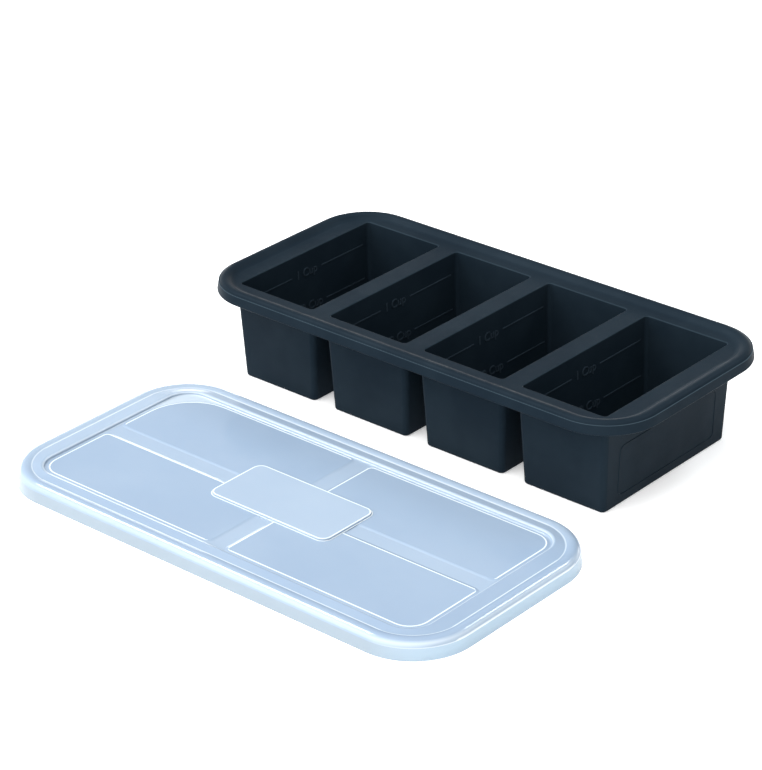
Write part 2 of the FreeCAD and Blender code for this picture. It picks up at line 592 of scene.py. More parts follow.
def grain_group() -> bpy.types.NodeTree:
    """Fine grain that the blasted mould leaves, over a faint long wave.

    Returns:
        A group with inputs Vector, Fine, Long and Wave, and the output Height.
    """
    sheet, sockets = effect_group("mould_grain", {"Fine": 3000.0, "Long": 60.0, "Wave": 1.0}, "Height")
    place = sockets["Vector"]
    fine = sheet.add("ShaderNodeTexNoise", {"Vector": place, "Scale": sockets["Fine"], "Detail": 2.0})
    slow = sheet.add("ShaderNodeTexNoise", {"Vector": place, "Scale": sockets["Long"], "Detail": 1.0})
    lift = sheet.add("ShaderNodeMath", {0: slow.outputs["Fac"], 1: sockets["Wave"]}, operation="MULTIPLY")
    total = sheet.add("ShaderNodeMath", {0: fine.outputs["Fac"], 1: lift.outputs["Value"]}, operation="ADD")
    sheet.tree.links.new(total.outputs["Value"], sockets["Height"])
    return sheet.tree


@dataclass(frozen=True)
class Finish:
    """What all finishes share: a name, two close colours, a range of roughness and a grain.

    Args:
        name: Name of the material.
        deep: Base colour in its darker patches.
        pale: Base colour in its paler patches, and the colour that the pale tones and painted highlights
            stored on the mesh lead to.
        patch_scale: How fine the patches are, in patches to the metre.
        smoothest: Lowest roughness.
        roughest: Highest roughness.
        grain_scale: How fine the grain is.
        grain_depth: Depth of the grain, in metres.
        wave: How strong the long wave is beside the grain.
        patchiness: How far the patches alone reach from the darker to the paler colour.
        gloss_patches: How much finer the patches of roughness are than those of colour.
    """

    name: str
    deep: Colour
    pale: Colour
    patch_scale: float
    smoothest: float
    roughest: float
    grain_scale: float
    grain_depth: float
    wave: float
    patchiness: float = 1.0
    gloss_patches: float = 2.3

    def material(self, clouding: bpy.types.NodeTree, grain: bpy.types.NodeTree) -> bpy.types.Material:
        """Builds the material.

        Args:
            clouding: The group of uneven patches.
            grain: The group of mould grain.

        Returns:
            The new material.
        """
        material = bpy.data.materials.new(self.name)
        material.use_nodes = True
        material.node_tree.nodes.clear()
        sheet = NodeSheet(material.node_tree)
        place = sheet.add("ShaderNodeTexCoord").outputs["Object"]
        patches = sheet.add("ShaderNodeGroup", {
            "Vector": place, "Scale": self.patch_scale, "Low": 0.0, "High": 1.0}, node_tree=clouding)
        mask = self.tone_mask(sheet, patches.outputs["Value"])
        tone = sheet.add("ShaderNodeMix", {0: mask, 6: (*self.deep, 1), 7: (*self.pale, 1)}, data_type="RGBA")
        rough = sheet.add("ShaderNodeGroup", {
            "Vector": place, "Scale": self.patch_scale * self.gloss_patches,
            "Low": self.smoothest, "High": self.roughest}, node_tree=clouding)
        height = sheet.add("ShaderNodeGroup", {
            "Vector": place, "Fine": self.grain_scale, "Wave": self.wave}, node_tree=grain)
        bump = sheet.add("ShaderNodeBump", {"Height": height.outputs["Height"], "Distance": self.grain_depth})
        shader = sheet.add("ShaderNodeBsdfPrincipled", {
            "Base Color": tone.outputs[2], "Roughness": rough.outputs["Value"],
            "Normal": bump.outputs["Normal"], **self.constants()})
        sheet.add("ShaderNodeOutputMaterial", {"Surface": shader.outputs["BSDF"]})
        return material

    def tone_mask(self, sheet: NodeSheet, patches: bpy.types.NodeSocket) -> bpy.types.NodeSocket:
        """Chooses between the two colours: the pale tones, painted highlights and painted light stored on the
        mesh, with the patches over it.

        Args:
            sheet: The material's sheet.
            patches: The mask of the patches.

        Returns:
            The mask, 0 for the deep colour and 1 for the pale one.
        """
        pale_tone_and_painted_light = sheet.add("ShaderNodeAttribute", attribute_name=TONE_AND_LIGHT_ATTRIBUTE)
        blotch = sheet.add("ShaderNodeMath", {0: patches, 1: self.patchiness}, operation="MULTIPLY")
        total = sheet.add("ShaderNodeMath", {
            0: pale_tone_and_painted_light.outputs["Fac"], 1: blotch.outputs["Value"]}, operation="ADD", use_clamp=True)
        return total.outputs["Value"]

    def constants(self) -> Dict[str, object]:
        """The shader's inputs that are the same all over the surface."""
        return {}


@dataclass(frozen=True)
class Silicone(Finish):
    """Matt food-grade silicone.

    Args:
        specular: Strength of its mirror part.
        gloss_tint: Colour of its mirror part.
        ior: Its index of refraction.
    """

    patch_scale: float = 26.0
    smoothest: float = 0.38
    roughest: float = 0.46
    grain_scale: float = 2600.0
    grain_depth: float = 0.03 * MM
    wave: float = 2.0
    patchiness: float = 0.08
    specular: float = 0.03
    gloss_tint: Colour = (0.62, 0.82, 1.0)
    ior: float = 1.41

    def constants(self) -> Dict[str, object]:
        """The shader's inputs that are the same all over the surface."""
        return {"IOR": self.ior, "Specular IOR Level": self.specular, "Specular Tint": (*self.gloss_tint, 1)}


@dataclass(frozen=True)
class LidPlastic(Finish):
    """Translucent polypropylene with a soft gloss.

    Args:
        depth: How far light spreads inside it, in metres.
        spread: Share of light that spreads inside it.
        reach: How far red, green and blue spread, as shares of the depth.
        ior: Its index of refraction.
    """

    patch_scale: float = 14.0
    smoothest: float = 0.12
    roughest: float = 0.18
    grain_scale: float = 1800.0
    grain_depth: float = 0.004 * MM
    wave: float = 6.0
    patchiness: float = 0.04
    depth: float = 1.5 * MM
    spread: float = 0.15
    reach: Colour = (0.8, 1.0, 1.2)
    ior: float = 1.49

    def constants(self) -> Dict[str, object]:
        """The shader's inputs that are the same all over the surface."""
        return {"IOR": self.ior, "Subsurface Weight": self.spread,
                "Subsurface Scale": self.depth, "Subsurface Radius": self.reach}


@dataclass(frozen=True)
class DrawnSteel(Finish):
    """Drawn stainless wire."""

    patch_scale: float = 120.0
    smoothest: float = 0.22
    roughest: float = 0.34
    grain_scale: float = 5000.0
    grain_depth: float = 0.01 * MM
    wave: float = 0.5

    def constants(self) -> Dict[str, object]:
        """The shader's inputs that are the same all over the surface."""
        return {"Metallic": 1.0}


@dataclass
class PortionTray:
    """The silicone moulding: raised rim, flat web and four drafted cups.

    Args:
        skin: The silicone material.
        opening: Outline of a cup's inner wall at the top.
        mouth_radius: Radius of the lip round the opening.
        rim_band: Width of the rim's underside.
        ledge_drop: How far the parting ledge lies below the rim's crest.
        highlight_drop: How far below the ledge the painted highlight line along it starts.
        lip_highlight: How pale the painted highlight on the lips of the cups is.
        lip_share: Share of a lip's height that the painted highlight covers.
        round_steps: Facets in the bead's arcs and the cups' bottoms.
        edge_steps: Facets in the lips and the rim's lower edge.
    """

    skin: bpy.types.Material
    cup_count: int = 4
    cup_pitch: float = 67.5 * MM
    opening: Plan = Plan(27.5 * MM, 54.8 * MM, 2.2 * MM)
    mouth_radius: float = 0.6 * MM
    outer_corner: float = 3.4 * MM
    wall: float = 2.1 * MM
    floor: float = 2.2 * MM
    draft: float = math.radians(2.6)
    outer_bottom_radius: float = 1.4 * MM
    inner_bottom_radius: float = 1.8 * MM
    web_top: float = 57.8 * MM
    web_underside: float = 54.8 * MM
    rim: Plan = Plan(149.7 * MM, 71.7 * MM, 33.5 * MM)
    rim_underside: float = 53.1 * MM
    rim_edge_radius: float = 0.9 * MM
    rim_lean: float = 0.9 * MM
    rim_band: float = 9.2 * MM
    ledge_drop: float = 1.6 * MM
    ledge_width: float = 0.6 * MM
    highlight_drop: float = 0.35 * MM
    lip_highlight: float = 0.35
    lip_share: float = 0.95
    crest_inset: float = 4.5 * MM
    crest_rise: float = 2.6 * MM
    bead_width: float = 11.2 * MM
    rim_corner_steps: int = 24
    cup_corner_steps: int = 8
    round_steps: int = 8
    edge_steps: int = 6
    middle: Vector = field(default_factory=lambda: box_middle("tray"))

    def cup_places(self) -> List[Vector]:
        """How far each cup lies from the middle of the tray."""
        first = -(self.cup_count - 1) / 2 * self.cup_pitch
        return [Vector((first + k * self.cup_pitch, 0, 0)) for k in range(self.cup_count)]

    def rim_top_skin(self) -> bpy.types.Object:
        """The rim's outer face, parting ledge and bead, up to the flat web.

        Returns:
            The open skin.
        """
        low = self.rim_underside + self.rim_edge_radius
        top = self.web_top + self.crest_rise
        ledge_z = top - self.ledge_drop
        ledge = (self.rim_lean + self.ledge_width, ledge_z)
        crest = (self.crest_inset, top)
        foot = (self.bead_width, self.web_top)
        saddle = ((crest[0] + foot[0]) / 2, (crest[1] + foot[1]) / 2)
        # A row of points below the ledge bounds the painted highlight line along it.
        below = (self.rim_lean * (1 - self.highlight_drop / (ledge_z - low)), ledge_z - self.highlight_drop)
        points = [(0.0, low), below, (self.rim_lean, ledge_z), ledge]
        points += arc_to_level(ledge, crest, self.round_steps)
        points += level_arc(crest, saddle, self.round_steps)[1:]
        points += arc_to_level(saddle, foot, self.round_steps)
        start = self.middle + Vector((0, 0, low))
        piece = start_plate("rim_top", self.rim, start, Facing.UP, self.rim_corner_steps)
        step_by(moves_between(points), Facing.UP)
        open_end()
        return piece

    def rim_bottom_skin(self) -> bpy.types.Object:
        """The rim's lower edge and underside, up to the underside of the web.

        Returns:
            The open skin.
        """
        start = self.middle + Vector((0, 0, self.rim_underside + self.rim_edge_radius))
        piece = start_plate("rim_bottom", self.rim, start, Facing.DOWN, self.rim_corner_steps)
        edge = Rounding(self.rim_edge_radius, math.pi / 2, 0, self.edge_steps).moves()
        band = (self.rim_band - self.rim_edge_radius, 0)
        step_by([*edge, band, (0, self.web_underside - self.rim_underside)], Facing.DOWN)
        open_end()
        return piece

    def cup_skin(self, name: str, mouth: Plan, top: float, low: float, radius: float,
                 facing: Facing) -> bpy.types.Object:
        """One side of a cup: its rounded mouth, drafted wall and rounded bottom.

        Args:
            name: Name of the piece.
            mouth: Outline of the wall at the top.
            top: Height of the top.
            low: Height of the bottom.
            radius: Radius between wall and bottom.
            facing: UP for the cup's inside, DOWN for its outside.

        Returns:
            The open skin.
        """
        steep = math.pi / 2 - self.draft
        bottom = Rounding(radius, steep, 0, self.round_steps)
        lip = Rounding(self.mouth_radius, 0, steep, self.edge_steps)
        height = top - low - bottom.tangent() * math.cos(self.draft)
        plan = mouth
        start = self.middle + Vector((0, 0, top))
        if facing is Facing.UP:
            plan = mouth.offset(lip.tangent())
            height -= lip.tangent() * math.cos(self.draft)
        piece = start_plate(name, plan, start, facing, self.cup_corner_steps)
        if facing is Facing.UP:
            step_by(lip.moves(), facing)
            plan = plan.offset(-sum(move[0] for move in lip.moves()))
        draw_in(plan, height * math.tan(self.draft), -height, start)
        step_by(bottom.moves(), facing)
        drop_cap(piece, start.z)
        leave_edit()
        return piece

    def tone_and_highlight(self, point: Vector) -> float:
        """Painted highlight lines on the silicone: along the parting ledge and round the cups' mouths.

        Args:
            point: A point of the moulding.

        Returns:
            The paleness, from 0 to 1.
        """
        x, y, z = point - self.middle
        depth = self.rim.depth(x, y)
        over_ledge = z - (self.web_top + self.crest_rise - self.ledge_drop)
        under_web = self.web_top - z
        # Painted highlight along the outer edge of the parting ledge.
        if abs(over_ledge) < 2 * TOUCH and depth < self.rim_lean + self.ledge_width / 2:
            return 1.0
        # Painted highlight round the cups' lips.
        if 2 * TOUCH < under_web < self.lip_share * self.mouth_radius and depth > self.bead_width:
            return self.lip_highlight
        return 0.0

    def build(self) -> bpy.types.Object:
        """Builds the whole moulding as one closed skin.

        Returns:
            The finished piece.
        """
        drop = (self.web_top - self.web_underside) * math.tan(self.draft)
        outer = replace(self.opening.offset(self.wall).drafted(drop), radius=self.outer_corner)
        inside = self.cup_skin("cup_inside", self.opening, self.web_top, self.floor,
                               self.inner_bottom_radius, Facing.UP)
        outside = self.cup_skin("cup_outside", outer, self.web_underside, 0,
                                self.outer_bottom_radius, Facing.DOWN)
        skins = [self.rim_top_skin(), self.rim_bottom_skin()]
        for place in self.cup_places():
            skins += [copy_of(inside, "cup_inside", place), copy_of(outside, "cup_outside", place)]
        bpy.data.objects.remove(inside)
        bpy.data.objects.remove(outside)
        piece = join(skins)
        piece.name = "tray_moulding"
        weld(piece)
        for height in (self.web_top, self.web_underside):
            is_level = level_at(height)
            select_where(piece, "edges", lambda edge: edge.is_boundary and is_level(edge))
            bpy.ops.mesh.fill(use_beauty=True)
        face_outward()
        smooth(piece, SOFT_CREASE)
        store_tone_and_light(piece, self.tone_and_highlight)
        paint(piece, self.skin)
        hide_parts("tray")
        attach(piece, Body.TRAY.value)
        return piece


@dataclass
class FillMarks:
    """Raised measuring lines and their plain words on one wall of each cup.

    Args:
        tray: The tray whose cups they are in.
        skin: A paler copy of the silicone, for the raised marks.
        bury: How deep the marks are rooted in the wall.
        line_end: How far a line reaches from the middle of its wall.
        full_gap: Half of the room that the words of the full measure take.
        half_gap: The same for half a measure.
        line_round: Round of a line's edges, as a share of its rise.
        line_steps: Facets in that round.
        type_size: Size of the type, for letters of about 5.4 mm.
        letter_edge: Round of the letters' edges.
    """

    tray: PortionTray
    skin: bpy.types.Material
    rise: float = 0.28 * MM
    bury: float = 0.2 * MM
    line_width: float = 0.75 * MM
    line_end: float = 49.0 * MM
    full_height: float = 45.1 * MM
    full_gap: float = 12.5 * MM
    half_height: float = 23.6 * MM
    half_gap: float = 15.0 * MM
    line_round: float = 0.6
    line_steps: int = 3
    type_size: float = 7.29 * MM
    letter_edge: float = 0.08 * MM

    def wall_point(self, height: float) -> Vector:
        """Middle of the wall of a cup at a height, measured from the middle of the cup."""
        inset = (self.tray.web_top - height) * math.tan(self.tray.draft)
        return Vector((-(self.tray.opening.half_x - inset), 0, height))

    def line(self, start: float, end: float) -> bpy.types.Object:
        """A raised line that lies flat along X.

        Args:
            start: Where it starts.
            end: Where it ends.

        Returns:
            The line.
        """
        deselect_all()
        middle = ((start + end) / 2, 0, (self.rise - self.bury) / 2)
        bpy.ops.mesh.primitive_cube_add(size=1, location=middle)
        piece = bpy.context.object
        piece.scale = (end - start, self.line_width, self.rise + self.bury)
        bpy.ops.object.transform_apply(location=True, rotation=True, scale=True)
        edit(piece)
        select_where(piece, "faces", lambda face: face.normal.z > LEVEL)
        bpy.ops.mesh.bevel(offset=self.rise * self.line_round, segments=self.line_steps, affect="EDGES")
        leave_edit()
        return piece

    def words(self, text: str) -> bpy.types.Object:
        """Raised plain words, made a mesh while they still lie flat at the origin.

        Args:
            text: The words.

        Returns:
            Their mesh.
        """
        deselect_all()
        bpy.ops.object.text_add(location=(0, 0, 0))
        letters = bpy.context.object.data
        letters.body = text
        letters.size = self.type_size
        letters.extrude = (self.rise + self.bury) / 2
        letters.bevel_depth = self.letter_edge
        letters.bevel_resolution = 1
        letters.resolution_u = 4
        letters.align_x = letters.align_y = "CENTER"
        bpy.ops.object.convert(target="MESH")
        piece = bpy.context.object
        weld(piece)
        leave_edit()
        piece.data.transform(Matrix.Translation((0, 0, (self.rise - self.bury) / 2)))
        return piece

    def mark(self, text: str, height: float, gap: float) -> bpy.types.Object:
        """One mark: a line on both sides of its words, on the wall of a cup at the middle.

        Args:
            text: The words.
            height: Height of the line.
            gap: Half of the room that the words take.

        Returns:
            The mark.
        """
        piece = join([self.line(-self.line_end, -gap), self.line(gap, self.line_end), self.words(text)])
        place = Matrix.Translation(self.tray.middle + self.wall_point(height))
        piece.data.transform(place @ wall_turn(-self.tray.draft))
        return piece

    def build(self) -> bpy.types.Object:
        """Builds the marks of all cups as one piece.

        Returns:
            The finished piece.
        """
        full = self.mark("1 Cup", self.full_height, self.full_gap)
        half = self.mark("1/2 Cup", self.half_height, self.half_gap)
        pattern = join([full, half])
        copies = [copy_of(pattern, "fill_marks", place) for place in self.tray.cup_places()]
        bpy.data.objects.remove(pattern)
        piece = join(copies)
        piece.name = "fill_marks"
        smooth(piece, FINE_CREASE)
        paint(piece, self.skin)
        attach(piece, Body.TRAY.value)
        return piece


@dataclass
class EndFrame:
    """The thin raised frame on the right end wall, with its field left bare.

    Args:
        tray: The tray that it is on.
        outline: Its outer edge.
        bury: How deep it is rooted in the wall.
        height: Height of its middle.
        slant: Share of its width that each slanting side takes.
    """

    tray: PortionTray
    outline: Plan = Plan(43.0 * MM, 15.3 * MM, 4.0 * MM)
    width: float = 0.8 * MM
    rise: float = 0.25 * MM
    bury: float = 0.25 * MM
    height: float = 20.7 * MM
    slant: float = 0.25
    corner_steps: int = 6

    def build(self) -> bpy.types.Object:
        """Builds the frame flat and lays it on the wall.

        Returns:
            The finished piece.
        """
        tray = self.tray
        flat = start_plate("end_frame", self.outline, Vector((0, 0, -self.bury)), Facing.UP,
                           self.corner_steps)
        side = self.width * self.slant
        step_by([(0, self.bury), (side, self.rise), (self.width - 2 * side, 0), (side, -self.rise),
                 (0, -self.bury)], Facing.UP)
        bpy.ops.mesh.delete(type="ONLY_FACE")
        drop_cap(flat, -self.bury)
        bridge_rims(flat)
        narrowing = (tray.web_top - self.height) * math.tan(tray.draft)
        reach = tray.cup_places()[-1].x + tray.opening.half_x + tray.wall - narrowing
        place = Matrix.Translation(tray.middle + Vector((reach, 0, self.height)))
        flat.data.transform(place @ wall_turn(tray.draft))
        smooth(flat, FINE_CREASE)
        paint(flat, tray.skin)
        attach(flat, Body.TRAY.value)
        return flat


@dataclass
class Lid:
    """The thin lid: skirt, bead, band, recess with four panels and a bare raised plate.

    Args:
        skin: The lid's material.
        shaded_skirt_skin: A darker copy of the lid's material for its upright skirt: painted shade.
        rim_line: Width of the fine painted highlight line along an edge.
        hem: Width over which such a line fades.
        lead_in: Length of the slope that leads from the band into the recess.
        slope: Lean of that slope and of the panels' edges.
        brow_share: Share of a panel's rise above which its top edge begins.
        cut_corner: Radius that cuts off the far left panel's outer corner.
        apron_rise: Height over the panels of the ledge round the plate.
        root: How deep the panels and the plate are rooted in the floor.
        hollow_below: How far the form of the hollow reaches below the table.
        bead_haze: How pale the bead is; band_haze, strip_haze and plate_haze say the same of their places.
        painted_side_light: Painted light that makes the left and far sides paler.
            painted_edge_highlight, painted_foot_highlight and painted_crest_highlight: How white the painted
            highlights on the recess's edges, along the bead's foot and on the bead's crest are.
        painted_crescent_reflection: How white the painted reflection by the cut corner is.
        crest_depth: Distance from the outline to the middle of the painted highlight on the bead's crest.
        crest_reach: Half of the width of that painted highlight.
        cut_reach: Width of the painted reflection, a pale crescent by the cut corner.
        line_reach: How far round a panel its painted highlight lines run.
        plate_clear: Distance from the recess's edge that the plate keeps.
    """

    skin: bpy.types.Material
    shaded_skirt_skin: bpy.types.Material
    outline: Plan = Plan(152.0 * MM, 74.0 * MM, 35.8 * MM)
    wall: float = 1.2 * MM
    height: float = 10.0 * MM
    skirt_lean: float = 0.5 * MM
    shoulder_radius: float = 4.6 * MM
    crown_width: float = 3.2 * MM
    valley_depth: float = 0.6 * MM
    band_rise: float = 0.8 * MM
    recess: Plan = Plan(133.4 * MM, 58.6 * MM, 14.0 * MM)
    recess_lean: float = 0.4 * MM
    recess_depth: float = 1.7 * MM
    strip_width: float = 9.2 * MM
    panel_rise: float = 0.4 * MM
    panel_radius: float = 4.5 * MM
    brow_share: float = 0.8
    cut_corner: float = 30.0 * MM
    plate: Plan = Plan(41.0 * MM, 20.0 * MM, 5.5 * MM)
    plate_rise: float = 1.5 * MM
    edge_radius: float = 0.35 * MM
    lead_in: float = 1.4 * MM
    rim_line: float = 0.58 * MM
    hem: float = 0.06 * MM
    apron_rise: float = 0.15 * MM
    slope: float = math.radians(14.5)
    corner_steps: int = 24
    root: float = 0.6 * MM
    hollow_below: float = 1.0 * MM
    bead_haze: float = 0.06
    band_haze: float = 0.05
    painted_side_light: float = 0.08
    painted_edge_highlight: float = 0.4
    painted_foot_highlight: float = 0.6
    painted_crest_highlight: float = 0.26
    painted_crescent_reflection: float = 0.45
    strip_haze: float = 0.085
    plate_haze: float = 0.12
    crest_depth: float = 1.9 * MM
    crest_reach: float = 1.5 * MM
    cut_reach: float = 9.0 * MM
    line_reach: float = 1.6
    plate_clear: float = 10.0 * MM
    shoulder_steps: int = 12
    block_steps: int = 8
    fillet_steps: int = 6
    edge_steps: int = 4
    panel_places: List[Tuple[Vector, Plan]] = field(default_factory=list)
    middle: Vector = field(default_factory=lambda: box_middle("lid"))

    def floor_height(self) -> float:
        """Height of the recess's floor."""
        return self.height - self.valley_depth + self.band_rise - self.recess_depth

    def form(self, wall: float, below: float) -> bpy.types.Object:
        """Filled form of the lid: its outside, or with a wall its hollow.

        Args:
            wall: Distance inward from the lid's outside.
            below: How far the form reaches below the table.

        Returns:
            A closed solid.
        """
        top = self.height - wall
        radius = self.shoulder_radius - wall
        plan = self.outline.offset(-wall)
        shoulder = (self.skirt_lean, top - radius)
        crown = (shoulder[0] + radius, top)
        valley = (self.skirt_lean + self.shoulder_radius + self.crown_width - wall, top - self.valley_depth)
        start = self.middle + Vector((0, 0, -below))
        skirt = start_plate("skirt", plan, start, Facing.UP, self.corner_steps)
        draw_in(plan, shoulder[0], shoulder[1] + below, start)
        step_by(Rounding(radius, math.pi / 2, 0, self.shoulder_steps).rising(), Facing.UP)
        step_by(moves_between(level_arc(crown, valley, self.fillet_steps)) + self.fine_line(), Facing.UP)
        open_end()
        recess = self.recess_skin(self.recess.offset(wall), valley[1] + self.band_rise)
        piece = join([skirt, recess])
        edit(piece)
        bridge_rims(piece)
        return piece

    def fine_line(self) -> List[Point]:
        """Moves across a level strip that carries a fine painted highlight line, and its hem."""
        return [(self.rim_line, 0), (self.hem, 0)]

    def recess_skin(self, plan: Plan, top: float) -> bpy.types.Object:
        """The recess's rounded edge, leaning wall and floor.

        Args:
            plan: Outline of the recess where its wall meets the band.
            top: Height of the band.

        Returns:
            The open skin.
        """
        steep = math.atan2(self.recess_depth, self.recess_lean)
        brink = Rounding(self.edge_radius, 0, self.slope, self.edge_steps // 2)
        edge = Rounding(self.edge_radius, self.slope, steep, self.edge_steps)
        fillet = Rounding(2 * self.edge_radius, steep, 0, self.fillet_steps)
        lead_run = self.lead_in - brink.tangent() - edge.tangent()
        lead = (lead_run * math.cos(self.slope), -lead_run * math.sin(self.slope))
        rounds = brink.moves() + edge.moves() + fillet.moves()
        left = -self.recess_depth - lead[1] - sum(move[1] for move in rounds)
        lean = -left * math.cos(steep) / math.sin(steep)
        whole = lean + lead[0] + sum(move[0] for move in rounds)
        start = self.middle + Vector((0, 0, top))
        outer = plan.offset(whole - self.recess_lean - self.edge_radius)
        piece = start_plate("recess", outer, start, Facing.UP, self.corner_steps)
        step_by(brink.moves() + [lead] + edge.moves() + [(lean, left)] + fillet.moves(), Facing.UP)
        leave_edit()
        return piece

    def low_block(self, name: str, plan: Plan, place: Vector, rise: float,
                  wide_corner: Optional[Vector] = None, wide_radius: float = 0.0) -> bpy.types.Object:
        """A low block with rounded top edges that is rooted in the floor of the recess.

        Args:
            name: Name of the block.
            plan: Its outline.
            place: Its middle, from the middle of the lid.
            rise: Its height above the floor.
            wide_corner: Direction of the corner that has a radius of its own.
            wide_radius: Radius of that corner.

        Returns:
            A closed solid.
        """
        low = self.middle + place + Vector((0, 0, self.floor_height() - self.root))
        block = start_plate(name, plan, low, Facing.UP, self.block_steps, wide_corner, wide_radius)
        side = math.pi / 2 if rise > self.panel_rise else self.slope
        moves = Rounding(self.edge_radius, 0, side, self.edge_steps).rising()
        ends = Rounding(self.edge_radius, side, 0, self.edge_steps).rising()
        height = rise - sum(move[1] for move in moves + ends)
        if rise > self.panel_rise:
            apron = self.panel_rise + self.apron_rise
            moves = [(0, apron), *self.fine_line(), (0, height + self.edge_radius - apron)]
        else:
            run = height * math.cos(side) / math.sin(side)
            near = 1 - self.hem / self.rim_line
            moves += [(run * part, height * part) for part in (near, 1 - near)]
        step_by([(0, self.root), *moves, *ends, *self.fine_line()], Facing.UP)
        face_outward()
        return block

    def panels(self) -> List[bpy.types.Object]:
        """The four low panels, which leave a strip along each middle line.

        Returns:
            Their closed solids.
        """
        edge = self.strip_width / 2
        far = self.panel_field(0, 0)
        plan = Plan((far.half_x - edge) / 2, (far.half_y - edge) / 2, self.panel_radius)
        blocks = []
        for sign_x in (-1, 1):
            for sign_y in (-1, 1):
                place = Vector((sign_x * (edge + plan.half_x), sign_y * (edge + plan.half_y), 0))
                radius = self.panel_field(place.x, place.y).radius
                blocks.append(self.low_block("panel", plan, place, self.panel_rise, place, radius))
                self.panel_places.append((place, plan))
        return blocks

    def painted_light_side(self, x: float, y: float, plan: Plan) -> float:
        """How far a point of an outline faces the lid's left and far sides, where the painted light and
        painted highlight lines go.

        Args:
            x: Its place along X, from the outline's middle.
            y: Its place along Y.
            plan: The outline.

        Returns:
            From -1 at the right and near sides to 1 at the left and far ones.
        """
        core_x = math.copysign(max(abs(x) - plan.half_x + plan.radius, 0), x)
        core_y = math.copysign(max(abs(y) - plan.half_y + plan.radius, 0), y)
        reach = math.hypot(core_x, core_y)
        return (core_y - core_x) / (reach * math.sqrt(2)) if reach else 0.0

    def panel_field(self, x: float, y: float) -> Plan:
        """Outline of the four panels together, with the corner radius of one quarter of the recess.

        Args:
            x: Place along X of a point in that quarter, from the middle of the lid.
            y: Its place along Y.

        Returns:
            The outline.
        """
        foot = self.recess_lean + 2 * self.edge_radius
        radius = self.cut_corner if x < 0 < y else self.recess.radius - foot
        return replace(self.recess.drafted(foot), radius=radius)

    def painted_panel_highlight(self, x: float, y: float) -> float:
        """How white the painted highlight line round a panel is at a point on the panels' top.

        Args:
            x: The point's place along X, from the middle of the lid.
            y: Its place along Y.

        Returns:
            The whiteness, from 0 to 1.
        """
        run = self.panel_rise / math.tan(self.slope) + 2 * self.edge_radius * math.tan(self.slope / 2)
        end = run + self.rim_line + self.hem / 2
        by_wall = self.panel_field(x, y).depth(x, y)
        for place, plan in self.panel_places:
            depth = plan.depth(x - place.x, y - place.y)
            if depth > 0 and run - 2 * self.hem < min(depth, by_wall) < end:
                side = self.painted_light_side(x - place.x, y - place.y, plan)
                return 1.0 if by_wall < end else min(max(self.line_reach * side, 0.0), 1.0)
        return 0.0

    def outer_tone_and_light(self, x: float, y: float, inside: float) -> float:
        """How pale the plastic is outside the recess, with its painted light and painted highlights.

        Args:
            x: The point's place along X, from the middle of the lid.
            y: Its place along Y.
            inside: How far it lies inside the lid's outline.

        Returns:
            How pale it is there, from 0 to 1.
        """
        # Painted light: the skirt pales toward the corners of its right end.
        if inside < self.skirt_lean + SEAM:
            core = max(abs(x) - self.outline.half_x + self.outline.radius, 0)
            return core / self.outline.radius if x > 0 else 0.0
        side = self.painted_light_side(x, y, self.outline)
        foot = self.skirt_lean + self.shoulder_radius + self.crown_width
        # The bead: painted light on its left and far sides, and a painted highlight along its crest on the
        # near and right sides.
        if inside < foot - self.hem:
            crest = max(1 - abs(inside - self.crest_depth) / self.crest_reach, 0)
            near = max(-side, 0) * (1 + max(x, 0) / self.outline.half_x)
            return self.bead_haze + self.painted_side_light * side + self.painted_crest_highlight * crest * near
        # A painted highlight line along the bead's foot.
        if inside < foot + self.rim_line + self.hem / 2:
            return self.painted_foot_highlight
        # The band, with painted light on its left and far sides.
        return self.band_haze + self.painted_side_light * side

    def pale_tone_and_painted_light(self, point: Vector) -> float:
        """How pale the plastic is at a point: pale tones of its parts, with painted highlight lines, painted
        light and a painted reflection over them.

        Args:
            point: A point of the moulding.

        Returns:
            From 0 in the thin panels to 1 on the whitest edges, where the highlight lines are painted.
        """
        x, y, z = point - self.middle
        inside = self.outline.depth(x, y)
        over_floor = z - self.floor_height()
        recess_depth = self.recess.depth(x, y)
        foot_line = self.skirt_lean + self.shoulder_radius + self.crown_width + self.rim_line + self.hem / 2
        if inside < foot_line or recess_depth < -SEAM:
            return self.outer_tone_and_light(x, y, inside)
        # The plate: painted highlight lines round its top edge and its foot, over its pale field.
        if over_floor > self.panel_rise + self.apron_rise / 2 and recess_depth > self.plate_clear:
            on_top = over_floor > self.plate_rise - 2 * TOUCH
            line_end = self.edge_radius + self.rim_line + self.hem / 2 if on_top else -self.hem / 2
            return 1.0 if self.plate.depth(x, y) < line_end else self.plate_haze
        # Painted highlight on the recess's wall and edges.
        if over_floor > self.panel_rise + self.apron_rise:
            return self.painted_edge_highlight
        # Painted highlight lines along the panels' top edges.
        if over_floor > self.brow_share * self.panel_rise:
            return self.painted_panel_highlight(x, y)
        # A painted reflection, a pale crescent by the cut corner; elsewhere the strips' pale tone.
        by_cut = x < self.cut_corner - self.recess.half_x and y > self.recess.half_y - self.cut_corner
        by_wall = recess_depth < self.recess_lean + self.cut_reach
        return self.painted_crescent_reflection if by_cut and by_wall else self.strip_haze

    def build(self) -> bpy.types.Object:
        """Builds the lid as one closed thin shell.

        Returns:
            The finished piece.
        """
        piece = self.form(0, 0)
        piece.name = "lid_moulding"
        for block in self.panels():
            combine(piece, block, Blend.UNION)
        plate = self.plate.offset(self.rim_line + self.hem)
        combine(piece, self.low_block("plate", plate, Vector((0, 0, 0)), self.plate_rise), Blend.UNION)
        combine(piece, self.form(self.wall, self.hollow_below), Blend.DIFFERENCE)
        smooth(piece, SOFT_CREASE)
        store_tone_and_light(piece, self.pale_tone_and_painted_light)
        paint(piece, self.skin, self.shaded_skirt_skin)
